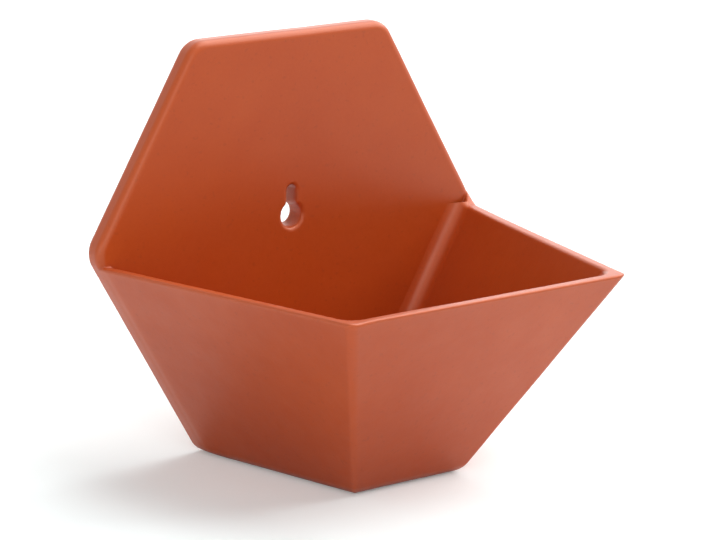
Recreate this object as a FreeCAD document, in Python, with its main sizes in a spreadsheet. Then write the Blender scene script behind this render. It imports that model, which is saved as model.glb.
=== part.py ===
import FreeCAD, Part
import os
import Sketcher

# A wall planter of glazed stoneware slabs: a thick hexagonal back plate with a
# keyhole, and a faceted pocket luted to its lower half.
#
# Frame, in millimetres: +Z up, +X to the right as one faces the planter, and the
# pocket points along -Y.  The origin is the middle of the flat base that the
# planter stands on, so the back plate's wall side is half a base depth behind it.

DIMENSIONS = (
    ("plate_width", 200, "back plate across its two widest corners"),
    ("plate_top_width", 100, "top edge of the back plate"),
    ("plate_bottom_width", 88, "bottom edge of the back plate"),
    ("plate_height", 178, "base to the top edge"),
    ("plate_thickness", 9, "slab of the back plate"),
    ("corner_radius", 11, "rounding of the hexagon's corners"),
    ("edge_radius", 2, "rounding of the back plate's edges"),
    ("rim_height", 91, "base to the level rim of the pocket"),
    ("corner_rise", 3, "rim to the level of the plate's two widest corners"),
    ("rim_front_width", 144, "front edge of the rim"),
    ("rim_depth", 143, "wall side of the plate to the front edge of the rim"),
    ("base_depth", 90, "wall side of the plate to the front edge of the base"),
    ("wall_thickness", 4.5, "slabs of the three pocket walls"),
    ("floor_thickness", 6, "slab of the pocket floor"),
    ("crease_radius", 6.5, "outer creases between the walls"),
    ("base_radius", 8, "outer edges of the base"),
    ("rim_radius", 0.9, "edges of the rim"),
    ("bead_radius", 6, "hollow face of the seam bead inside the pocket"),
    ("bore_rise", 8, "rim to the middle of the keyhole's bore"),
    ("bore_diameter", 11, "bore that a screw head passes"),
    ("slot_width", 5.2, "slot that the screw shank slides up"),
    ("slot_rise", 10.4, "middle of the bore to the middle of the slot's round end"),
    ("keyhole_radius", 1, "soft edge all round the keyhole"),
    ("pad_diameter", 14, "felt pads on the wall side"),
    ("pad_thickness", 1.5, "felt pads"),
    ("pad_spread", 70, "middle of one pad to the middle of the other"),
    ("pad_height", 20, "base to the middle of the pads"),
)

# Places and slopes that follow from the driving dimensions, as expressions.
WALL_SIDE = "(dims.base_depth / 2)"
PLATE_FRONT = "(dims.base_depth / 2 - dims.plate_thickness)"
WIDEST_HEIGHT = "(dims.rim_height + dims.corner_rise)"
SIDE_RUN = f"((dims.plate_width - dims.plate_bottom_width) / 2 / {WIDEST_HEIGHT})"
FRONT_RUN = "((dims.rim_depth - dims.base_depth) / dims.rim_height)"
RIM_REAR_HALF = f"(dims.plate_bottom_width / 2 + {SIDE_RUN} * dims.rim_height)"
SIDE_TAPER = (f"(({RIM_REAR_HALF} - dims.rim_front_width / 2)"
              " / (dims.rim_depth - dims.plate_thickness))")
# how far a slab of wall thickness reaches along X in a side wall, and along Y in the front
SIDE_REACH = f"(dims.wall_thickness * sqrt(1 + {SIDE_TAPER} ^ 2 + {SIDE_RUN} ^ 2))"
FRONT_REACH = f"(dims.wall_thickness * sqrt(1 + {FRONT_RUN} ^ 2))"
BORE_HEIGHT = "(dims.rim_height + dims.bore_rise)"
SLOT_END_HEIGHT = f"({BORE_HEIGHT} + dims.slot_rise)"
BEAD_TOP = "(dims.rim_height - dims.rim_radius)"
# a crease can't be rounder than the slabs behind it allow, nor the base rounder than the
# foot of the creases that it runs into
CREASE_RADIUS = "min(dims.crease_radius; dims.wall_thickness * 1.5)"
BASE_RADIUS = f"min(dims.base_radius; {CREASE_RADIUS} * 1.25)"

NEAR = 0.01
# how far a wall's share of the pocket reaches out along its mitre, in wall thicknesses
BEYOND = 3


def make_dimension_sheet(doc):
    sheet = doc.addObject("Spreadsheet::Sheet", "dims")
    for row, (alias, size, meaning) in enumerate(DIMENSIONS, start=1):
        sheet.set(f"A{row}", alias)
        sheet.set(f"B{row}", str(size))
        sheet.set(f"C{row}", meaning)
        sheet.setAlias(f"B{row}", alias)
    doc.recompute()
    return sheet


def new_body(doc, name):
    body = doc.addObject("PartDesign::Body", name)
    body.Label = name
    return body


def new_sketch(body, name, plane, offset="0"):
    """A sketch on one of the body's origin planes, moved along the plane's normal."""
    sketch = body.newObject("Sketcher::SketchObject", name)
    planes = [item for item in body.Origin.OriginFeatures if item.Role == plane]
    sketch.AttachmentSupport = (planes[0], [""])
    sketch.MapMode = "FlatFace"
    sketch.setExpression("AttachmentOffset.Base.z", offset)
    return sketch


def bind_point(sketch, line, end, across, up):
    """Hold one end of a line at a place given by two expressions."""
    for kind, expression in (("DistanceX", across), ("DistanceY", up)):
        size = float(sketch.evalExpression(expression))
        index = sketch.addConstraint(Sketcher.Constraint(kind, -1, 1, line, end, size))
        sketch.setExpression(f"Constraints[{index}]", expression)


def add_outline(sketch, corners):
    """A closed outline of straight lines through corners given by expressions."""
    places = [FreeCAD.Vector(float(sketch.evalExpression(across)), float(sketch.evalExpression(up)), 0)
              for across, up in corners]
    count = len(corners)
    for number in range(count):
        sketch.addGeometry(Part.LineSegment(places[number], places[(number + 1) % count]))
    for number in range(count):
        sketch.addConstraint(Sketcher.Constraint("Coincident", number, 2, (number + 1) % count, 1))
    for number, (across, up) in enumerate(corners):
        bind_point(sketch, number, 1, across, up)


def add_circle(sketch, across, up, radius):
    """A circle whose middle and radius are given by expressions."""
    middle = FreeCAD.Vector(float(sketch.evalExpression(across)), float(sketch.evalExpression(up)), 0)
    size = float(sketch.evalExpression(radius))
    circle = sketch.addGeometry(Part.Circle(middle, FreeCAD.Vector(0, 0, 1), size))
    bind_point(sketch, circle, 3, across, up)
    index = sketch.addConstraint(Sketcher.Constraint("Radius", circle, size))
    sketch.setExpression(f"Constraints[{index}]", radius)


def pad(body, name, sketch, length, reversed_way=False, both_ways=False):
    feature = body.newObject("PartDesign::Pad", name)
    feature.Profile = sketch
    feature.setExpression("Length", length)
    feature.Reversed = reversed_way
    feature.Midplane = both_ways
    sketch.Visibility = False
    return feature


def pocket_through(body, name, sketch):
    feature = body.newObject("PartDesign::Pocket", name)
    feature.Profile = sketch
    feature.Type = "ThroughAll"
    feature.Midplane = True
    sketch.Visibility = False
    return feature


def edges_of(shape, wanted):
    """Names of the edges that the test accepts."""
    return [f"Edge{number}" for number, edge in enumerate(shape.Edges, start=1) if wanted(edge)]


def soften(body, name, base, wanted, radius):
    """Round the edges of a feature that the test accepts."""
    body.Document.recompute()
    feature = body.newObject("PartDesign::Fillet", name)
    feature.Base = (base, edges_of(base.Shape, wanted))
    feature.setExpression("Radius", radius)
    body.Document.recompute()
    return feature


def all_points(edge, test):
    places = [edge.valueAt(edge.FirstParameter + (edge.LastParameter - edge.FirstParameter) * part / 4)
              for part in range(5)]
    return all(test(place) for place in places)


def front_at(height):
    """Where the outer face of the front is at a height."""
    return f"(-dims.base_depth / 2 - {FRONT_RUN} * {height})"


def half_width(height, depth, inset="0"):
    """Half the pocket's width at a height and a depth along Y, moved in from its outer face."""
    return (f"(dims.plate_bottom_width / 2 + {SIDE_RUN} * {height}"
            f" - {SIDE_TAPER} * ({PLATE_FRONT} - {depth}) - {inset})")


def plan_at(height, front_inset, side_inset):
    """The pocket's plan at a height, moved in from its outer faces."""
    front = f"({front_at(height)} + {front_inset})"
    rear_half = half_width(height, PLATE_FRONT, side_inset)
    front_half = half_width(height, front, side_inset)
    return ((f"-{rear_half}", PLATE_FRONT), (f"-{front_half}", front),
            (front_half, front), (rear_half, PLATE_FRONT))


def outer_plan(height):
    return plan_at(height, "0", "0")


def inner_plan(height):
    return plan_at(height, FRONT_REACH, SIDE_REACH)


def mitre(height, reach):
    """A point of the mitre at the right front crease: 0 at its inner corner, 1 at its outer one."""
    front = f"({front_at(height)} + {FRONT_REACH} * {1 - reach})"
    return half_width(height, front, f"{SIDE_REACH} * {1 - reach}"), front


def front_zone_plan(height):
    """The front wall's share of the pocket at a height, mitred at its ends and open outwards."""
    inner_across, inner_front = mitre(height, 0)
    outer_across, outer_front = mitre(height, BEYOND)
    return ((f"-{inner_across}", inner_front), (f"-{outer_across}", outer_front),
            (outer_across, outer_front), (inner_across, inner_front))


def side_zone_plan(height, side):
    """A side wall's share at a height, mitred in front and open outwards and to the rear."""
    inner_across, inner_front = mitre(height, 0)
    outer_across, outer_front = mitre(height, BEYOND)
    rear = WALL_SIDE
    inner_rear = half_width(height, rear, SIDE_REACH)
    outer_rear = half_width(height, rear, f"{SIDE_REACH} * {1 - BEYOND}")
    return ((f"{side} * {inner_rear}", rear), (f"{side} * {inner_across}", inner_front),
            (f"{side} * {outer_across}", outer_front), (f"{side} * {outer_rear}", rear))


def loft(doc, name, low, high, plan):
    """A flat-sided form between a plan's outlines at two heights."""
    outlines = []
    for end, height in (("low", low), ("high", high)):
        sketch = doc.addObject("Sketcher::SketchObject", f"{name}_{end}")
        sketch.setExpression("Placement.Base.z", height)
        add_outline(sketch, plan(height))
        sketch.Visibility = False
        outlines.append(sketch)
    form = doc.addObject("Part::Loft", name)
    form.Sections = outlines
    form.Solid = True
    form.Ruled = True
    return form


def body_from(doc, name, form):
    """A body that starts from another form."""
    body = new_body(doc, name)
    body.BaseFeature = form
    doc.recompute()
    return body


def cut(doc, name, base, tool):
    """One form less another."""
    result = doc.addObject("Part::Cut", name)
    result.Label = name
    result.Base = base
    result.Tool = tool
    result.Refine = False
    return result


def common(doc, name, base, tool):
    """What two forms share."""
    result = doc.addObject("Part::Common", name)
    result.Label = name
    result.Base = base
    result.Tool = tool
    result.Refine = False
    return result


def size_of(doc, expression):
    return float(doc.dims.evalExpression(expression))


# ---------------------------------------------------------------- back plate


def make_back_plate(doc):
    """The hexagonal slab, its rounded edges, the flush landing of the pocket and the keyhole."""
    body = new_body(doc, "back_plate")
    outline = new_sketch(body, "plate_outline", "XZ_Plane", f"-{WALL_SIDE}")
    add_outline(outline, (
        ("-dims.plate_bottom_width / 2", "0"),
        ("-dims.plate_width / 2", WIDEST_HEIGHT),
        ("-dims.plate_top_width / 2", "dims.plate_height"),
        ("dims.plate_top_width / 2", "dims.plate_height"),
        ("dims.plate_width / 2", WIDEST_HEIGHT),
        ("dims.plate_bottom_width / 2", "0"),
    ))
    slab = pad(body, "plate_slab", outline, "dims.plate_thickness")
    wall_side = size_of(doc, WALL_SIDE)
    plate_front = size_of(doc, PLATE_FRONT)

    def across_the_slab(edge):
        ends = [vertex.Point for vertex in edge.Vertexes]
        return abs(ends[0].y - ends[1].y) > NEAR

    def round_a_face(edge):
        on_wall_side = all_points(edge, lambda place: abs(place.y - wall_side) < NEAR)
        on_front = all_points(edge, lambda place: abs(place.y - plate_front) < NEAR)
        return on_wall_side or on_front

    corners = soften(body, "plate_corners", slab, across_the_slab, "dims.corner_radius")
    edges = soften(body, "plate_edges", corners, round_a_face, "dims.edge_radius")

    # Below the rim the walls sit flush with the plate's edge, so the rounding is filled there.
    landing = new_sketch(body, "landing_outline", "XZ_Plane", f"-{PLATE_FRONT}")
    add_outline(landing, (
        (f"-(dims.plate_bottom_width / 2 + {SIDE_RUN} * dims.floor_thickness)", "dims.floor_thickness"),
        (f"-{RIM_REAR_HALF}", "dims.rim_height"),
        (RIM_REAR_HALF, "dims.rim_height"),
        (f"(dims.plate_bottom_width / 2 + {SIDE_RUN} * dims.floor_thickness)", "dims.floor_thickness"),
    ))
    pad(body, "landing", landing, "dims.plate_thickness / 2", reversed_way=True)

    bore = new_sketch(body, "bore_outline", "XZ_Plane", f"-{WALL_SIDE}")
    add_circle(bore, "0", BORE_HEIGHT, "dims.bore_diameter / 2")
    pocket_through(body, "bore", bore)
    slot = new_sketch(body, "slot_outline", "XZ_Plane", f"-{WALL_SIDE}")
    add_outline(slot, (
        ("-dims.slot_width / 2", BORE_HEIGHT),
        ("-dims.slot_width / 2", SLOT_END_HEIGHT),
        ("dims.slot_width / 2", SLOT_END_HEIGHT),
        ("dims.slot_width / 2", BORE_HEIGHT),
    ))
    pocket_through(body, "slot", slot)
    slot_end = new_sketch(body, "slot_end_outline", "XZ_Plane", f"-{WALL_SIDE}")
    add_circle(slot_end, "0", SLOT_END_HEIGHT, "dims.slot_width / 2")
    keyhole = pocket_through(body, "slot_end", slot_end)

    bore_radius = size_of(doc, "dims.bore_diameter / 2")
    low = size_of(doc, BORE_HEIGHT) - bore_radius
    high = size_of(doc, f"{SLOT_END_HEIGHT} + dims.slot_width / 2")

    def round_the_keyhole(edge):
        box = edge.BoundBox
        in_reach = abs(box.XMin) <= bore_radius + NEAR and abs(box.XMax) <= bore_radius + NEAR
        return round_a_face(edge) and in_reach and box.ZMin >= low - NEAR and box.ZMax <= high + NEAR

    soften(body, "keyhole_edges", keyhole, round_the_keyhole, "dims.keyhole_radius")
    return body


# ------------------------------------------------------------- faceted pocket


def make_rounded_form(doc):
    """The pocket's outer form, unhollowed, with its creases, base and rim rounded."""
    rim = size_of(doc, "dims.rim_height")
    plate_front = size_of(doc, PLATE_FRONT)

    def at_plate(edge):
        return all_points(edge, lambda place: abs(place.y - plate_front) < NEAR)

    def at_rim(edge):
        return all_points(edge, lambda place: abs(place.z - rim) < NEAR) and not at_plate(edge)

    def at_base(edge):
        return all_points(edge, lambda place: abs(place.z) < NEAR) and not at_plate(edge)

    def front_crease(edge):
        ends = [vertex.Point for vertex in edge.Vertexes]
        return abs(ends[0].z - ends[1].z) > rim / 2 and all(end.y < plate_front - NEAR for end in ends)

    form = body_from(doc, "rounded_form", loft(doc, "outside", "0", "dims.rim_height", outer_plan))
    creases = soften(form, "creases", form.Tip, front_crease, CREASE_RADIUS)
    base_edges = soften(form, "base_edges", creases, at_base, BASE_RADIUS)
    soften(form, "outer_rim", base_edges, at_rim, "dims.rim_radius")
    return form


def make_wall(doc, name, form, plan, along_inner_rim):
    """One wall slab: its mitred share of the form, with its inner rim edge rounded."""
    zone = loft(doc, name + "_zone", "dims.floor_thickness", "(dims.rim_height * 1.2)", plan)
    share = common(doc, name + "_share", form, zone)
    doc.recompute()
    body = body_from(doc, name, share)
    rim = size_of(doc, "dims.rim_height")

    def inner_rim(edge):
        return all_points(edge, lambda place: abs(place.z - rim) < NEAR and along_inner_rim(place))

    soften(body, name + "_inner_rim", body.Tip, inner_rim, "dims.rim_radius")
    return body


def make_pocket_slabs(doc, form):
    """The floor under everything, and the three walls on it, mitred at the front creases."""
    reach = "(dims.plate_width * 2)"
    floor_zone = new_body(doc, "floor_zone")
    floor_plan = new_sketch(floor_zone, "floor_zone_outline", "XY_Plane", "-dims.floor_thickness")
    add_outline(floor_plan, ((f"-{reach}", f"-{reach}"), (reach, f"-{reach}"),
                             (reach, reach), (f"-{reach}", reach)))
    pad(floor_zone, "floor_zone_block", floor_plan, "dims.floor_thickness * 2")
    doc.recompute()
    pocket_floor = common(doc, "pocket_floor", form, floor_zone)

    inner_front = size_of(doc, f"{front_at('dims.rim_height')} + {FRONT_REACH}")
    inner_half = size_of(doc, half_width("dims.rim_height", PLATE_FRONT, SIDE_REACH))
    taper = size_of(doc, SIDE_TAPER)
    plate_front = size_of(doc, PLATE_FRONT)

    def along_front(place):
        return abs(place.y - inner_front) < NEAR

    def along_side(place):
        return abs(abs(place.x) - inner_half + taper * (plate_front - place.y)) < NEAR

    return [
        pocket_floor,
        make_wall(doc, "front_wall", form, front_zone_plan, along_front),
        make_wall(doc, "left_wall", form, lambda height: side_zone_plan(height, -1), along_side),
        make_wall(doc, "right_wall", form, lambda height: side_zone_plan(height, 1), along_side),
    ]


def make_seam_bead(doc):
    """The soft bead of clay along every inner seam: the sharp hollow less the soft one."""
    sharp = loft(doc, "sharp_hollow", "dims.floor_thickness", BEAD_TOP, inner_plan)
    doc.recompute()
    soft = body_from(doc, "soft_hollow", sharp)
    top = size_of(doc, BEAD_TOP)

    def below_the_top(edge):
        return not all_points(edge, lambda place: abs(place.z - top) < NEAR)

    soften(soft, "soft_seams", soft.Tip, below_the_top, "dims.bead_radius")
    return cut(doc, "seam_bead", sharp, soft)


# ------------------------------------------------------------------ wall pads


def make_wall_pad(doc, name, side):
    """A felt disc on the wall side of the plate; side is -1 on the left and 1 on the right."""
    body = new_body(doc, name)
    outline = new_sketch(body, name + "_outline", "XZ_Plane", f"-{WALL_SIDE}")
    add_circle(outline, f"{side} * dims.pad_spread / 2", "dims.pad_height", "dims.pad_diameter / 2")
    disc = pad(body, name + "_disc", outline, "dims.pad_thickness", reversed_way=True)
    wall_face = size_of(doc, f"{WALL_SIDE} + dims.pad_thickness")
    soften(body, name + "_edge", disc,
           lambda edge: all_points(edge, lambda place: abs(place.y - wall_face) < NEAR),
           "dims.pad_thickness / 3")
    return body


# -------------------------------------------------------------------- export


def check(doc, parts):
    for item in doc.Objects:
        bad = [state for state in item.State if state in ("Invalid", "Error")]
        if bad:
            raise RuntimeError(f"{item.Name} did not build: {item.State}")
    for item in parts:
        if item.Shape.isNull() or not item.Shape.isValid():
            raise RuntimeError(f"{item.Label} has no valid shape")
        if not item.Shape.Solids:
            raise RuntimeError(f"{item.Label} has no solid")


def main():
    doc = FreeCAD.newDocument("wall_planter")
    make_dimension_sheet(doc)
    parts = [make_back_plate(doc)]
    parts += make_pocket_slabs(doc, make_rounded_form(doc))
    parts.append(make_seam_bead(doc))
    parts.append(make_wall_pad(doc, "wall_pad_left", -1))
    parts.append(make_wall_pad(doc, "wall_pad_right", 1))
    doc.recompute()
    check(doc, parts)
    os.makedirs("parts", exist_ok=True)
    for item in parts:
        item.Shape.exportStep(f"parts/{item.Label}.step")
        box = item.Shape.BoundBox
        print(f"{item.Label}: {len(item.Shape.Solids)} solid, {item.Shape.Volume / 1000:.1f} cm3,"
              f" x {box.XMin:.1f}..{box.XMax:.1f} y {box.YMin:.1f}..{box.YMax:.1f}"
              f" z {box.ZMin:.1f}..{box.ZMax:.1f}")


main()
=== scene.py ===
import math

import bpy
import numpy as np
from mathutils import Matrix, Vector
from mathutils.geometry import tessellate_polygon


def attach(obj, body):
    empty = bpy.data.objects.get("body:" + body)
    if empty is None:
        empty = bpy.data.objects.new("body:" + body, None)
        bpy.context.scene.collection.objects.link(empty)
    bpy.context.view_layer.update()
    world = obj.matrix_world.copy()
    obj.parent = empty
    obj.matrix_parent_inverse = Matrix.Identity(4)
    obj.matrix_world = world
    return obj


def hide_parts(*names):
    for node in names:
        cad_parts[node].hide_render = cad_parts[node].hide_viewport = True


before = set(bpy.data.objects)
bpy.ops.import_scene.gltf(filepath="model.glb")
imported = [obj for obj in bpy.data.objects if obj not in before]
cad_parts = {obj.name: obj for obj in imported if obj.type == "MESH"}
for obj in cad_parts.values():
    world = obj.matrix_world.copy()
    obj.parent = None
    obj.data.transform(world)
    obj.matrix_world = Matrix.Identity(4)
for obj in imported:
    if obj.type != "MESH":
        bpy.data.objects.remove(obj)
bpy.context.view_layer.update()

MM = 0.001

# ------------------------------------------------------------------ the object's sizes, in mm

PLATE_HALF, PLATE_TOP_HALF, BOTTOM_HALF = 100.0, 50.0, 44.0
PLATE_HEIGHT, WIDEST_HEIGHT = 178.0, 94.0
WALL_SIDE, PLATE_FRONT = 45.0, 36.0
CORNER_RADIUS = 11.0
RIM_HEIGHT, RIM_FRONT_HALF, RIM_FRONT = 91.0, 72.0, -98.0
BASE_FRONT, FLOOR_TOP, WALL = -45.0, 6.0, 4.5
BORE_HEIGHT, BORE_RADIUS = 99.0, 5.5
SLOT_TOP, SLOT_HALF = 109.4, 2.6
PAD_ACROSS, PAD_HEIGHT, PAD_RADIUS, PAD_THICKNESS = 35.0, 20.0, 7.0, 1.5

# How far each edge or valley is rounded, as rounded_max takes it.
PLATE_FRONT_EDGE, PLATE_REAR_EDGE, OUTLINE_EDGE, BASE_EDGE = 3.4, 2.0, 0.5, 4.6
KEYHOLE_FRONT_EDGE, KEYHOLE_REAR_EDGE, KEYHOLE_NECK = 1.5, 0.3, 0.8
RIM_OUTER_EDGE, RIM_OUTER_EDGE_MORE_AT_LEFT, RIM_INNER_EDGE, RIM_TO_PLATE = 1.35, 0.75, 0.9, 4.5
CREASE_AT_BASE, CREASE_GROWTH = 1.3, 1.7
HOLLOW_CREASE_AT_BASE, HOLLOW_CREASE_GROWTH, HOLLOW_FLOOR_EDGE = 1.5, 4.5, 1.5
BEAD_AT_CREASES, BEAD_AT_PLATE, BEAD_AT_FLOOR, BEAD_TOP_EDGE = 6.5, 7.8, 5.0, 1.2

KEYHOLE_CLOSING = 0.13      # per mm towards the wall side
LEFT_LEAN, LEFT_REACH = 0.2, 6.0
POCKET_INTO_PLATE = 3.0
BEAD_FLANGE, BEAD_REACH = 1.6, 10.5
BEAD_BELOW_RIM, BEAD_DROP_AT_LEFT, BEAD_BELOW_GLAZE = 0.05, 7.0, 0.02
SEAM_INSET = 1.5            # from the CAD seams to where the visible pieces part

SIDE_RUN = (PLATE_HALF - BOTTOM_HALF) / WIDEST_HEIGHT
FRONT_RUN = (BASE_FRONT - RIM_FRONT) / RIM_HEIGHT
RIM_REAR_HALF = BOTTOM_HALF + SIDE_RUN * RIM_HEIGHT
SIDE_TAPER = (RIM_REAR_HALF - RIM_FRONT_HALF) / (PLATE_FRONT - RIM_FRONT)
SIDE_LENGTH = math.sqrt(1 + SIDE_TAPER ** 2 + SIDE_RUN ** 2)
FRONT_LENGTH = math.sqrt(1 + FRONT_RUN ** 2)

# ------------------------------------------------------------------ distance fields, in mm


def rounded_max(a, b, radius):
    """What two fields share, with a rounded edge where they meet."""
    corner = np.hypot(np.maximum(a + radius, 0), np.maximum(b + radius, 0))
    return np.minimum(np.maximum(a, b), -radius) + corner


def rounded_min(a, b, radius):
    """Two fields joined, with a rounded valley where they meet."""
    return -rounded_max(-a, -b, radius)


def side_distance(x, y, z):
    """From the outer faces of both side walls, negative inside."""
    return (np.abs(x) - BOTTOM_HALF - SIDE_RUN * z + SIDE_TAPER * (PLATE_FRONT - y)) / SIDE_LENGTH


def front_distance(y, z):
    return (BASE_FRONT - FRONT_RUN * z - y) / FRONT_LENGTH


def polygon_distance(x, z, corners):
    """Exact distance from a convex polygon given anticlockwise."""
    deepest = np.full_like(x, -1e9)
    nearest = np.full_like(x, 1e9)
    for (ax, az), (bx, bz) in zip(corners, corners[1:] + corners[:1]):
        along_x, along_z = bx - ax, bz - az
        length = math.hypot(along_x, along_z)
        off_x, off_z = x - ax, z - az
        deepest = np.maximum(deepest, (off_x * along_z - off_z * along_x) / length)
        share = np.clip((off_x * along_x + off_z * along_z) / length ** 2, 0, 1)
        nearest = np.minimum(nearest, np.hypot(off_x - share * along_x, off_z - share * along_z))
    return np.where(deepest < 0, deepest, nearest)


def inset_polygon(corners, inset):
    """A convex polygon given anticlockwise, moved in by a distance."""
    moved = []
    for before, here, after in zip(corners[-1:] + corners[:-1], corners, corners[1:] + corners[:1]):
        lines = []
        for (ax, az), (bx, bz) in ((before, here), (here, after)):
            length = math.hypot(bx - ax, bz - az)
            normal = ((bz - az) / length, (ax - bx) / length)
            lines.append((*normal, normal[0] * ax + normal[1] * az - inset))
        moved.append(tuple(np.linalg.solve([line[:2] for line in lines], [line[2] for line in lines])))
    return moved


HEXAGON = [(-BOTTOM_HALF, 0.0), (BOTTOM_HALF, 0.0), (PLATE_HALF, WIDEST_HEIGHT),
           (PLATE_TOP_HALF, PLATE_HEIGHT), (-PLATE_TOP_HALF, PLATE_HEIGHT), (-PLATE_HALF, WIDEST_HEIGHT)]
HEXAGON_CORE = inset_polygon(HEXAGON, CORNER_RADIUS)


def keyhole_distance(x, y, z):
    """The keyhole, whose bore and slot close in a little towards the wall side."""
    closing = KEYHOLE_CLOSING * (y - PLATE_FRONT)
    bore = np.hypot(x, z - BORE_HEIGHT) - BORE_RADIUS + closing
    slot = np.hypot(x, z - np.clip(z, BORE_HEIGHT, SLOT_TOP)) - SLOT_HALF + closing / 2
    return rounded_min(bore, slot, KEYHOLE_NECK)


def plate_outline(x, z):
    return polygon_distance(x, z, HEXAGON_CORE) - CORNER_RADIUS


def plate_distance(x, y, z):
    outline = plate_outline(x, z)
    slab = rounded_max(outline, PLATE_FRONT - y, PLATE_FRONT_EDGE)
    slab = rounded_max(slab, y - WALL_SIDE, PLATE_REAR_EDGE)
    keyhole = -keyhole_distance(x, y, z)
    front = rounded_max(slab, np.maximum(keyhole, PLATE_FRONT - y - 3), KEYHOLE_FRONT_EDGE)
    return np.maximum(rounded_max(front, keyhole, KEYHOLE_REAR_EDGE),
                      rounded_max(PLATE_FRONT - y, keyhole, KEYHOLE_FRONT_EDGE))


def inner_walls(x, y, z):
    """From the inner faces of the side and front walls, negative in the hollow."""
    return side_distance(x, y, z) + WALL, front_distance(y, z) + WALL


def rim_height(x, y):
    """The rim of the hand-cut slabs, which isn't quite level."""
    across, along = x / 85, (y + 31) / 67
    return RIM_HEIGHT - 0.55 + 0.45 * across + 0.35 * along + 0.75 * across * along


def to_the_right(x):
    """From minus one at the left to one at the right, changing over near the middle."""
    return np.tanh(x / 20)


def left_depth(x, y, z):
    """How far a point lies inside the outer face of the left wall."""
    return np.maximum(-side_distance(np.minimum(x, 0), y, z), 0)


def near_left_wall(x, y, z):
    """One at the outer face of the left wall, and nothing away from it."""
    return np.exp(-(left_depth(x, y, z) / LEFT_REACH) ** 2)


def rim_surface(x, y, z, plate):
    """The top of the pocket, which leans in a little at the left and runs up the plate in a fillet."""
    lean = LEFT_LEAN * left_depth(x, y, z) * near_left_wall(x, y, z)
    return rounded_min(z - rim_height(x, y) + lean, plate, RIM_TO_PLATE + 3.7 * to_the_right(x))


def body_distance(x, y, z):
    """The plate and the pocket's slabs as one fired body, flush below the rim."""
    plate = plate_distance(x, y, z)
    share = np.clip(z / RIM_HEIGHT, 0, 1)
    outside = rounded_max(side_distance(x, y, z), front_distance(y, z), CREASE_AT_BASE + CREASE_GROWTH * share)
    outside = rounded_max(outside, -z, BASE_EDGE)
    outside = rounded_max(outside, plate_outline(x, z), OUTLINE_EDGE)
    side, front = inner_walls(x, y, z)
    hollow = rounded_max(side, front, HOLLOW_CREASE_AT_BASE + HOLLOW_CREASE_GROWTH * share)
    hollow = rounded_max(hollow, FLOOR_TOP - z, HOLLOW_FLOOR_EDGE)
    top = rim_surface(x, y, z, plate)
    outer_edge = RIM_OUTER_EDGE + RIM_OUTER_EDGE_MORE_AT_LEFT * near_left_wall(x, y, z)
    walls = np.maximum(rounded_max(outside, top, outer_edge), rounded_max(-hollow, top, RIM_INNER_EDGE))
    pocket = np.maximum(walls, y - PLATE_FRONT - POCKET_INTO_PLATE)
    return np.minimum(plate, pocket)


def unevenness(x, y, z):
    """The slight waves of a hand-finished slab, in mm."""
    generator = np.random.default_rng(7)
    total = 0.0
    for wavelength, height in ((70, 0.10), (55, 0.08), (41, 0.06), (29, 0.035), (17, 0.018), (12, 0.012)):
        for _ in range(2):
            direction = generator.normal(size=3)
            direction *= 2 * math.pi / wavelength / np.linalg.norm(direction)
            phase = generator.uniform(0, 2 * math.pi)
            total = total + height * np.sin(direction[0] * x + direction[1] * y + direction[2] * z + phase)
    return total


def taken_away(x, y, z):
    """How deep the waves lie below the true form, in mm: never above it."""
    waves = 0.05 + unevenness(x, y, z) * 0.5
    return (waves + np.hypot(waves, 0.08)) / 2


def fired_body(x, y, z):
    """The body with its waves and a faint dip outside, where the pocket is luted to the plate."""
    outside = 1 + np.tanh((side_distance(x, y, z) + 2) / 0.6)
    below_rim = 1 + np.tanh((RIM_HEIGHT - 4 - z) / 2)
    dip = 0.035 * np.exp(-((y - PLATE_FRONT - 0.4) / 1.8) ** 2) * outside * below_rim
    return body_distance(x, y, z) + taken_away(x, y, z) + dip


def bead_distance(x, y, z):
    """The clay smeared along the inner seams, with its flanges buried in the slabs."""
    side, front = inner_walls(x, y, z)
    planes = [side, front, y - PLATE_FRONT, FLOOR_TOP - z]
    sharp = np.maximum.reduce(planes)
    soft = rounded_max(rounded_max(side, front, BEAD_AT_CREASES), y - PLATE_FRONT, BEAD_AT_PLATE)
    soft = rounded_max(soft, FLOOR_TOP - z, BEAD_AT_FLOOR)
    second = np.sort(np.stack(planes), axis=0)[-2]
    bead = np.maximum(-soft, sharp - BEAD_FLANGE)
    bead = rounded_max(bead, -BEAD_REACH - second, BEAD_FLANGE)
    lower = BEAD_BELOW_RIM + BEAD_DROP_AT_LEFT * (1 - to_the_right(x)) / 2
    return rounded_max(bead, rim_surface(x, y, z, plate_distance(x, y, z)) + lower, BEAD_TOP_EDGE)


def fired_bead(x, y, z):
    return bead_distance(x, y, z) + taken_away(x, y, z) + BEAD_BELOW_GLAZE


def pad_distance(side):
    def distance(x, y, z):
        disc = np.hypot(x - side * PAD_ACROSS, z - PAD_HEIGHT) - PAD_RADIUS
        slab = np.abs(y - WALL_SIDE - PAD_THICKNESS / 2 + 0.2) - PAD_THICKNESS / 2 - 0.2
        return rounded_max(disc, slab, 0.45) + 0.06 + unevenness(x * 9, y * 9, z * 9) * 0.15
    return distance


# ------------------------------------------------------------------ meshes from the fields


def gradient(field, points, reach=0.05):
    result = np.empty_like(points)
    for axis in range(3):
        shift = np.zeros(3)
        shift[axis] = reach
        result[:, axis] = (field(*(points + shift).T) - field(*(points - shift).T)) / (2 * reach)
    return result


def settle(field, points, rounds=4):
    """Move points onto the field's surface."""
    for _ in range(rounds):
        slope = gradient(field, points)
        steep = np.maximum((slope ** 2).sum(1), 0.05)
        points = points - slope * (field(*points.T) / steep)[:, None]
    return points


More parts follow.
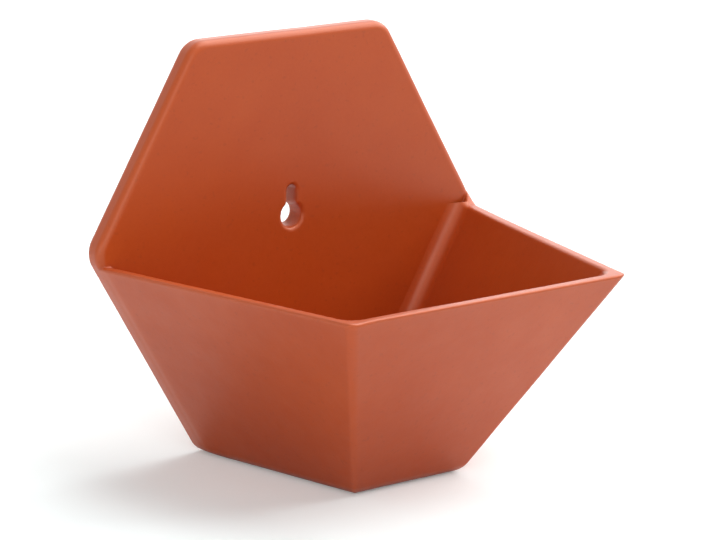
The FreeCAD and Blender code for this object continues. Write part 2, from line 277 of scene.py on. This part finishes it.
def surface_net(field, low, high, step):
    """Points and triangles of a field's surface, one point in each grid cell that it crosses."""
    axes = [np.arange(a, b + step, step) for a, b in zip(low, high)]
    inside = field(*np.meshgrid(*axes, indexing="ij")) < 0
    sizes = [len(axis) - 1 for axis in axes]
    count = np.zeros(sizes, np.int8)
    for i in (0, 1):
        for j in (0, 1):
            for k in (0, 1):
                count += inside[i:i + sizes[0], j:j + sizes[1], k:k + sizes[2]]
    cells = np.argwhere((count > 0) & (count < 8))
    number = np.full(sizes, -1, np.int64)
    number[tuple(cells.T)] = np.arange(len(cells))
    points = np.array(low) + (cells + 0.5) * step
    quads = []
    for axis in range(3):
        first = np.moveaxis(inside, axis, 0)
        cell = np.moveaxis(number, axis, 0)
        changes = np.argwhere(first[:-1, 1:-1, 1:-1] != first[1:, 1:-1, 1:-1])
        a, b, c = changes[:, 0], changes[:, 1], changes[:, 2]
        ring = np.stack([cell[a, b, c], cell[a, b + 1, c], cell[a, b + 1, c + 1], cell[a, b, c + 1]], 1)
        backwards = first[a, b + 1, c + 1] == (axis == 1)
        ring[backwards] = ring[backwards][:, ::-1]
        quads.append(ring)
    quads = np.concatenate(quads)
    points = settle(field, points)
    for _ in range(4):
        points = settle(field, even_out(points, quads), 1)
    points = settle(field, points, 2)
    short = (np.linalg.norm(points[quads[:, 0]] - points[quads[:, 2]], axis=1)
             < np.linalg.norm(points[quads[:, 1]] - points[quads[:, 3]], axis=1))
    by_first, by_second = quads[short], quads[~short]
    triangles = np.concatenate([by_first[:, [0, 1, 2]], by_first[:, [0, 2, 3]],
                                by_second[:, [1, 2, 3]], by_second[:, [1, 3, 0]]])
    return points, triangles


def even_out(points, quads):
    """Each point halfway to the middle of its neighbours."""
    total = np.zeros_like(points)
    count = np.zeros(len(points))
    for here, there in ((0, 1), (1, 2), (2, 3), (3, 0)):
        for a, b in ((quads[:, here], quads[:, there]), (quads[:, there], quads[:, here])):
            for axis in range(3):
                total[:, axis] += np.bincount(a, points[b, axis], len(points))
            count += np.bincount(a, minlength=len(points))
    return (points + total / np.maximum(count, 1)[:, None]) / 2


def new_piece(name, field, points, triangles, caps=()):
    """A mesh object, in metres, shaded by the field's own slope except on its caps."""
    used, index = np.unique(triangles, return_inverse=True)
    triangles = index.reshape(-1, 3)
    points = points[used]
    renumber = {old: new for new, old in enumerate(used)}
    cap_triangles = [[renumber[corner] for corner in cap] for cap in caps]
    faces = np.concatenate([triangles, np.array(cap_triangles, np.int64).reshape(-1, 3)])
    slope = gradient(field, points)
    slope /= np.linalg.norm(slope, axis=1)[:, None]
    mesh = bpy.data.meshes.new(name)
    mesh.from_pydata((points * MM).tolist(), [], faces.tolist())
    mesh.update()
    mesh.polygons.foreach_set("use_smooth", np.arange(len(faces)) < len(triangles))
    corners = np.concatenate([slope[triangles.ravel()], np.zeros((len(cap_triangles) * 3, 3))])
    mesh.normals_split_custom_set(corners.tolist())
    reach = 1.2
    bend = sum(field(*(points + reach * np.eye(3)[axis] * way).T) for axis in range(3) for way in (-1, 1))
    bend = (bend - 6 * field(*points.T)) / reach ** 2
    attribute = mesh.attributes.new("bend", "FLOAT", "POINT")
    attribute.data.foreach_set("value", bend.astype(np.float32))
    piece = bpy.data.objects.new(name, mesh)
    bpy.context.scene.collection.objects.link(piece)
    return piece


def behind(points):
    return points[:, 1] - PLATE_FRONT + SEAM_INSET


def above(points):
    return points[:, 2] - FLOOR_TOP - SEAM_INSET


def beside(points):
    """From the mitres at the two front creases, positive in the side walls."""
    return side_distance(*points.T) - front_distance(*points[:, 1:].T)


SEAMS = (behind, above, beside)


def hold(field, points, held):
    """Move the held points along the surface onto all the seams that hold them."""
    moving = held.any(1)
    places = points[moving]
    for _ in range(14):
        places = settle(field, places, 1)
        for number, seam in enumerate(SEAMS):
            slope = gradient(lambda *axes: seam(np.stack(axes, 1)), places)
            step = (seam(places) / (slope ** 2).sum(1))[:, None] * slope
            places = places - step * held[moving, number][:, None]
    points = points.copy()
    points[moving] = places
    return points


def cut_at_seams(field, points, triangles):
    """Bring a line of the mesh's edges onto every seam."""
    held = np.zeros((len(points), len(SEAMS)), bool)
    for number, seam in enumerate(SEAMS):
        middle = points[triangles].mean(1)
        wanted = np.ones(len(triangles), bool)
        for before in SEAMS[:number]:
            wanted &= before(middle) * (1 if before is above else -1) > 0
        edges = np.concatenate([triangles[wanted][:, pair] for pair in ([0, 1], [1, 2], [2, 0])])
        edges = np.unique(np.sort(edges, axis=1), axis=0)
        value = seam(points)
        taken = held.any(1)
        for along_a_seam in (True, False):
            a, b = edges[(value[edges[:, 0]] * value[edges[:, 1]] < 0)
                         & ((taken[edges].sum(1) == 2) == along_a_seam)].T
            first = np.abs(value[a]) + 100 * taken[a] <= np.abs(value[b]) + 100 * taken[b]
            nearer = np.where(first, a, b)
            held[nearer, number] = True
            value[nearer] = 0
        points = hold(field, points, held)
    return points, held


def caps_of(points, triangles, held):
    """Flat triangles that close a piece along the seams, facing away from it."""
    edges = np.concatenate([triangles[:, pair] for pair in ([0, 1], [1, 2], [2, 0])])
    known = set(map(tuple, edges.tolist()))
    open_edges = [(b, a) for a, b in known if (b, a) not in known]
    caps = []
    for number, sign in ((0, 0), (1, 0), (2, -1), (2, 1)):
        follow = {a: b for a, b in open_edges if held[a, number] and held[b, number]
                  and (sign == 0 or points[a, 0] * sign > 0)}
        starts = sorted(set(follow) - set(follow.values()))
        while follow:
            here = first = starts[0] if starts else min(follow)
            if starts:
                starts.remove(here)
            loop = [here]
            while True:
                if here in follow:
                    here = follow.pop(here)
                else:
                    gaps = {start: np.linalg.norm(points[start] - points[here]) for start in starts + [first]}
                    here = min(gaps, key=gaps.get)
                    if here in starts:
                        starts.remove(here)
                if here == first:
                    break
                loop.append(here)
            corners = [Vector(points[corner]) for corner in loop]
            facing = sum((a.cross(b) for a, b in zip(corners, corners[1:] + corners[:1])), Vector())
            for i, j, k in tessellate_polygon([corners]):
                turn = (corners[j] - corners[i]).cross(corners[k] - corners[i])
                outward = turn.dot(facing) > 0
                caps.append((loop[i], loop[j], loop[k]) if outward else (loop[i], loop[k], loop[j]))
    return caps


BODY_STEP, BEAD_STEP, PAD_STEP = (1.0), 0.8, 0.4
points, triangles = surface_net(fired_body, (-104, -102, -4), (104, 49, 182), BODY_STEP)
points, held = cut_at_seams(fired_body, points, triangles)
middle = points[triangles].mean(1)
in_plate = behind(middle) > 0
in_floor = ~in_plate & (above(middle) < 0)
in_front = ~in_plate & ~in_floor & (beside(middle) < 0)
in_side = ~in_plate & ~in_floor & ~in_front
slabs = []
for node, share in (("back_plate", in_plate), ("pocket_floor", in_floor), ("front_wall", in_front),
                    ("left_wall", in_side & (middle[:, 0] < 0)), ("right_wall", in_side & (middle[:, 0] > 0))):
    slab = new_piece(f"{node}_glazed", fired_body, points, triangles[share],
                     caps_of(points, triangles[share], held))
    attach(slab, "root")
    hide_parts(node)
    slabs.append(slab)

points, triangles = surface_net(fired_bead, (-100, -100, 2), (100, 40, 94), BEAD_STEP)
bead = new_piece("seam_bead_clay", fired_bead, points, triangles)
# A painted highlight: a paler strip across the middle of the seam bead, standing in for the light caught by
# its fillet.
from_walls = -np.maximum(*inner_walls(*points.T))
from_plate = PLATE_FRONT - points[:, 1]
across_bead = np.clip(from_plate / np.maximum(from_plate + from_walls, 0.1), 0, 1)
painted_seam_highlight = bead.data.attributes.new("painted_seam_highlight", "FLOAT", "POINT")
painted_seam_highlight.data.foreach_set("value", (np.sin(math.pi * across_bead) ** 1.5).astype(np.float32))
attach(bead, "root")
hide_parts("seam_bead")

pads = []
for name, side in (("left", -1), ("right", 1)):
    middle = side * PAD_ACROSS
    field = pad_distance(side)
    points, triangles = surface_net(field, (middle - 9, 43, PAD_HEIGHT - 9),
                                    (middle + 9, 48, PAD_HEIGHT + 9), PAD_STEP)
    pad = new_piece(f"felt_pad_{name}", field, points, triangles)
    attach(pad, "root")
    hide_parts(f"wall_pad_{name}")
    pads.append(pad)

# ------------------------------------------------------------------ materials


def linear(red, green, blue):
    """An sRGB colour of 0 to 255 as linear values."""
    values = [value / 255 for value in (red, green, blue)]
    return [v / 12.92 if v <= 0.04045 else ((v + 0.055) / 1.055) ** 2.4 for v in values] + [1.0]


GLAZE_DEEP = linear(168, 63, 11)
GLAZE_WARM = linear(174, 69, 15)
GLAZE_CLOUD = linear(163, 58, 10)
GLAZE_GRAIN = linear(182, 77, 24)
GLAZE_SPECK = linear(104, 38, 20)
# Paler edge colour: thin glaze, and partly a painted highlight on the edges.
THIN_GLAZE_AND_EDGE_HIGHLIGHT = linear(206, 112, 76)
THICK_GLAZE = linear(150, 52, 26)
# Colour of the painted highlight, a paler strip along the seam bead.
PAINTED_SEAM_HIGHLIGHT = linear(232, 128, 88)
FELT_DARK = linear(88, 84, 80)
FELT_LIGHT = linear(140, 134, 127)
FELT_CLUMP = linear(100, 95, 90)


class Nodes:
    """Short calls for building one material's nodes."""

    def __init__(self, name):
        self.material = bpy.data.materials.new(name)
        self.material.use_nodes = True
        self.tree = self.material.node_tree
        self.tree.nodes.clear()

    def add(self, kind, inputs=(), **settings):
        node = self.tree.nodes.new(kind)
        for key, value in settings.items():
            setattr(node, key, value)
        for key, value in dict(inputs).items():
            if isinstance(value, bpy.types.NodeSocket):
                self.tree.links.new(value, node.inputs[key])
            else:
                node.inputs[key].default_value = value
        return node

    def noise(self, place, scale, detail=3.0, roughness=0.5):
        node = self.add("ShaderNodeTexNoise", {"Vector": place, "Scale": scale, "Detail": detail,
                                               "Roughness": roughness})
        return node.outputs["Fac"]

    def fit(self, value, low, high, to_low=0.0, to_high=1.0):
        node = self.add("ShaderNodeMapRange", {"Value": value, "From Min": low, "From Max": high,
                                               "To Min": to_low, "To Max": to_high})
        return node.outputs["Result"]

    def mix(self, share, first, second, blend="MIX"):
        node = self.add("ShaderNodeMix", data_type="RGBA", blend_type=blend)
        for index, value in ((0, share), (6, first), (7, second)):
            if isinstance(value, bpy.types.NodeSocket):
                self.tree.links.new(value, node.inputs[index])
            else:
                node.inputs[index].default_value = value
        return node.outputs[2]

    def maths(self, operation, first, second):
        node = self.add("ShaderNodeMath", {0: first, 1: second}, operation=operation)
        return node.outputs[0]

    def output(self, shader):
        self.add("ShaderNodeOutputMaterial", {"Surface": shader})


def glaze_material():
    """A satin glaze, with a paler strip painted along the seams as a highlight."""
    n = Nodes("terracotta_satin_glaze")
    place = n.add("ShaderNodeTexCoord").outputs["Object"]
    bend = n.add("ShaderNodeAttribute", attribute_name="bend").outputs["Fac"]
    broad = n.noise(place, 14, 2)
    cloud = n.noise(place, 60, 4, 0.55)
    grain = n.noise(place, 900, 3, 0.6)
    specks = n.fit(n.noise(place, 520, 1, 0.4), 0.66, 0.74)

    colour = n.mix(n.fit(broad, 0.3, 0.7), GLAZE_DEEP, GLAZE_WARM)
    colour = n.mix(n.fit(cloud, 0.3, 0.75, 0.0, 0.5), colour, GLAZE_CLOUD)
    colour = n.mix(n.fit(grain, 0.35, 0.7, 0.0, 0.22), colour, GLAZE_GRAIN)
    colour = n.mix(n.maths("MULTIPLY", specks, 0.16), colour, GLAZE_SPECK)
    # The glaze runs thin on outer edges, where the paler clay shows, and the paler edges are partly a painted
    # highlight; it lies thick in hollows.
    thin_glaze_and_highlight = n.fit(bend, 0.06, 0.55, 0.0, 0.16)
    thin_glaze_and_highlight = n.maths("MULTIPLY", thin_glaze_and_highlight, n.fit(cloud, 0.25, 0.7, 0.55, 1.0))
    colour = n.mix(thin_glaze_and_highlight, colour, THIN_GLAZE_AND_EDGE_HIGHLIGHT)
    thick = n.fit(bend, -0.03, -0.25, 0.0, 0.25)
    colour = n.mix(thick, colour, THICK_GLAZE)
    # Painted highlight: the paler strip along the seam bead.
    painted_seam_highlight = n.add("ShaderNodeAttribute", attribute_name="painted_seam_highlight").outputs["Fac"]
    colour = n.mix(n.maths("MULTIPLY", painted_seam_highlight, 0.15), colour, PAINTED_SEAM_HIGHLIGHT)

    roughness = n.fit(cloud, 0.25, 0.75, 0.40, 0.50)
    roughness = n.maths("ADD", roughness, n.fit(grain, 0.3, 0.7, -0.03, 0.04))
    height = n.maths("ADD", n.maths("MULTIPLY", n.noise(place, 210, 2, 0.5), 0.00016),
                     n.maths("MULTIPLY", grain, 0.00002))
    bump = n.add("ShaderNodeBump", {"Strength": 0.6, "Distance": 1.0, "Height": height})
    shader = n.add("ShaderNodeBsdfPrincipled", {"Base Color": colour, "Roughness": roughness,
                                                "Normal": bump.outputs["Normal"]})
    shader.inputs["IOR"].default_value = 1.6
    shader.inputs["Specular Tint"].default_value = (1.0, 0.5, 0.3, 1.0)
    shader.inputs["Coat Weight"].default_value = 0.4
    shader.inputs["Coat Roughness"].default_value = 0.3
    n.output(shader.outputs["BSDF"])
    return n.material


def felt_material():
    n = Nodes("pressed_grey_felt")
    place = n.add("ShaderNodeTexCoord").outputs["Object"]
    stretched = n.add("ShaderNodeMapping", {"Vector": place, "Scale": (1.0, 1.0, 2.6)}).outputs["Vector"]
    fibres = n.noise(stretched, 1500, 5, 0.7)
    clumps = n.noise(place, 420, 3, 0.5)
    colour = n.mix(n.fit(fibres, 0.3, 0.7), FELT_DARK, FELT_LIGHT)
    colour = n.mix(n.fit(clumps, 0.35, 0.7, 0.0, 0.4), colour, FELT_CLUMP)
    height = n.maths("ADD", n.maths("MULTIPLY", fibres, 0.00035), n.maths("MULTIPLY", clumps, 0.0003))
    bump = n.add("ShaderNodeBump", {"Strength": 0.8, "Distance": 1.0, "Height": height})
    shader = n.add("ShaderNodeBsdfPrincipled", {"Base Color": colour, "Normal": bump.outputs["Normal"],
                                                "Roughness": n.fit(clumps, 0.3, 0.7, 0.9, 1.0)})
    shader.inputs["Sheen Weight"].default_value = 0.35
    shader.inputs["Sheen Roughness"].default_value = 0.5
    n.output(shader.outputs["BSDF"])
    return n.material


glaze = glaze_material()
felt = felt_material()
for piece in (*slabs, bead):
    piece.data.materials.append(glaze)
for piece in pads:
    piece.data.materials.append(felt)

# ------------------------------------------------------------------ stage, light and camera


def floor_material():
    n = Nodes("pale_floor")
    place = n.add("ShaderNodeTexCoord").outputs["Object"]
    seen = n.add("ShaderNodeLightPath").outputs["Is Camera Ray"]
    paper = n.fit(n.noise(place, 40, 3), 0.3, 0.7, 0.97, 1.0)
    seen_colour = n.add("ShaderNodeCombineColor", {"Red": n.maths("MULTIPLY", paper, 0.94),
                                                   "Green": paper, "Blue": paper})
    colour = n.mix(seen, (0.88, 0.88, 0.88, 1.0), seen_colour.outputs["Color"])
    paper_shader = n.add("ShaderNodeBsdfDiffuse", {"Color": colour, "Roughness": 0.6})
    lift = n.add("ShaderNodeEmission", {"Strength": n.maths("MULTIPLY", seen, 0.12)})
    n.output(n.add("ShaderNodeAddShader", {0: paper_shader.outputs["BSDF"],
                                           1: lift.outputs["Emission"]}).outputs["Shader"])
    return n.material


floor_mesh = bpy.data.meshes.new("floor")
half = 4.0
floor_corners = [(-half, -half, 0), (half, -half, 0), (half, half, 0), (-half, half, 0)]
floor_mesh.from_pydata(floor_corners, [], [(0, 1, 2, 3)])
floor = bpy.data.objects.new("floor", floor_mesh)
bpy.context.scene.collection.objects.link(floor)
floor.data.materials.append(floor_material())

SOFT_LIGHT_LEVEL = 0.34     # of the world as it lights the object; it is seen and mirrored as white
world = bpy.data.worlds.new("studio")
bpy.context.scene.world = world
world.use_nodes = True
tree = world.node_tree
tree.nodes["Background"].inputs["Color"].default_value = (1, 1, 1, 1)
level = tree.nodes.new("ShaderNodeMapRange")
level.inputs["To Min"].default_value = SOFT_LIGHT_LEVEL
level.inputs["To Max"].default_value = 1.0
path = tree.nodes.new("ShaderNodeLightPath")
seen = path.outputs["Is Camera Ray"]
for kind in ("Is Glossy Ray", "Is Transmission Ray"):
    either = tree.nodes.new("ShaderNodeMath")
    either.operation = "MAXIMUM"
    tree.links.new(seen, either.inputs[0])
    tree.links.new(path.outputs[kind], either.inputs[1])
    seen = either.outputs[0]
tree.links.new(seen, level.inputs["Value"])
tree.links.new(level.outputs["Result"], tree.nodes["Background"].inputs["Strength"])


def area_light(name, place, towards, size, power):
    data = bpy.data.lights.new(name, "AREA")
    data.shape = "RECTANGLE"
    data.size, data.size_y = size
    data.energy = power
    light = bpy.data.objects.new(name, data)
    light.location = place
    light.rotation_euler = (Vector(towards) - Vector(place)).to_track_quat("-Z", "Y").to_euler()
    bpy.context.scene.collection.objects.link(light)


area_light("overhead_softbox", (1.10, -0.25, 1.58), (0.15, -0.05, 0.0), (2.4, 2.4), 64.0)
area_light("rear_card", (0.95, 1.50, 0.60), (0, 0, 0.10), (2.6, 1.1), 9.0)
area_light("left_card", (-1.30, -0.55, 0.30), (0, 0, 0.06), (0.9, 0.5), 3.0)
area_light("front_card", (-0.75, -1.50, 0.75), (0, 0, 0.08), (1.0, 0.8), 5.0)

CAMERA_TARGET = Vector((0.0, -0.015, 0.090))
CAMERA_YAW, CAMERA_PITCH, CAMERA_ROLL = -0.667122, 0.236621, 0.0124594
CAMERA_DISTANCE = 1.330935
FOCAL_PIXELS, IMAGE_WIDTH = 3221.985, 716
SHIFT_PIXELS = (8.15, -11.404)

back = Vector((math.sin(CAMERA_YAW) * math.cos(CAMERA_PITCH),
               -math.cos(CAMERA_YAW) * math.cos(CAMERA_PITCH), math.sin(CAMERA_PITCH)))
right = (-back).cross(Vector((0, 0, 1))).normalized()
up = right.cross(-back)
turned_right = math.cos(CAMERA_ROLL) * right + math.sin(CAMERA_ROLL) * up
turned_up = -math.sin(CAMERA_ROLL) * right + math.cos(CAMERA_ROLL) * up
camera_data = bpy.data.cameras.new("camera")
camera_data.sensor_width = 36.0
camera_data.sensor_fit = "HORIZONTAL"
camera_data.lens = FOCAL_PIXELS * camera_data.sensor_width / IMAGE_WIDTH
camera_data.shift_x = -SHIFT_PIXELS[0] / IMAGE_WIDTH
camera_data.shift_y = SHIFT_PIXELS[1] / IMAGE_WIDTH
camera_data.clip_start = 0.05
camera = bpy.data.objects.new("camera", camera_data)
place = CAMERA_TARGET + back * CAMERA_DISTANCE
camera.matrix_world = Matrix((
    (turned_right.x, turned_up.x, back.x, place.x),
    (turned_right.y, turned_up.y, back.y, place.y),
    (turned_right.z, turned_up.z, back.z, place.z),
    (0, 0, 0, 1)))
bpy.context.scene.collection.objects.link(camera)
bpy.context.scene.camera = camera
bpy.context.scene.view_settings.view_transform = "Standard"
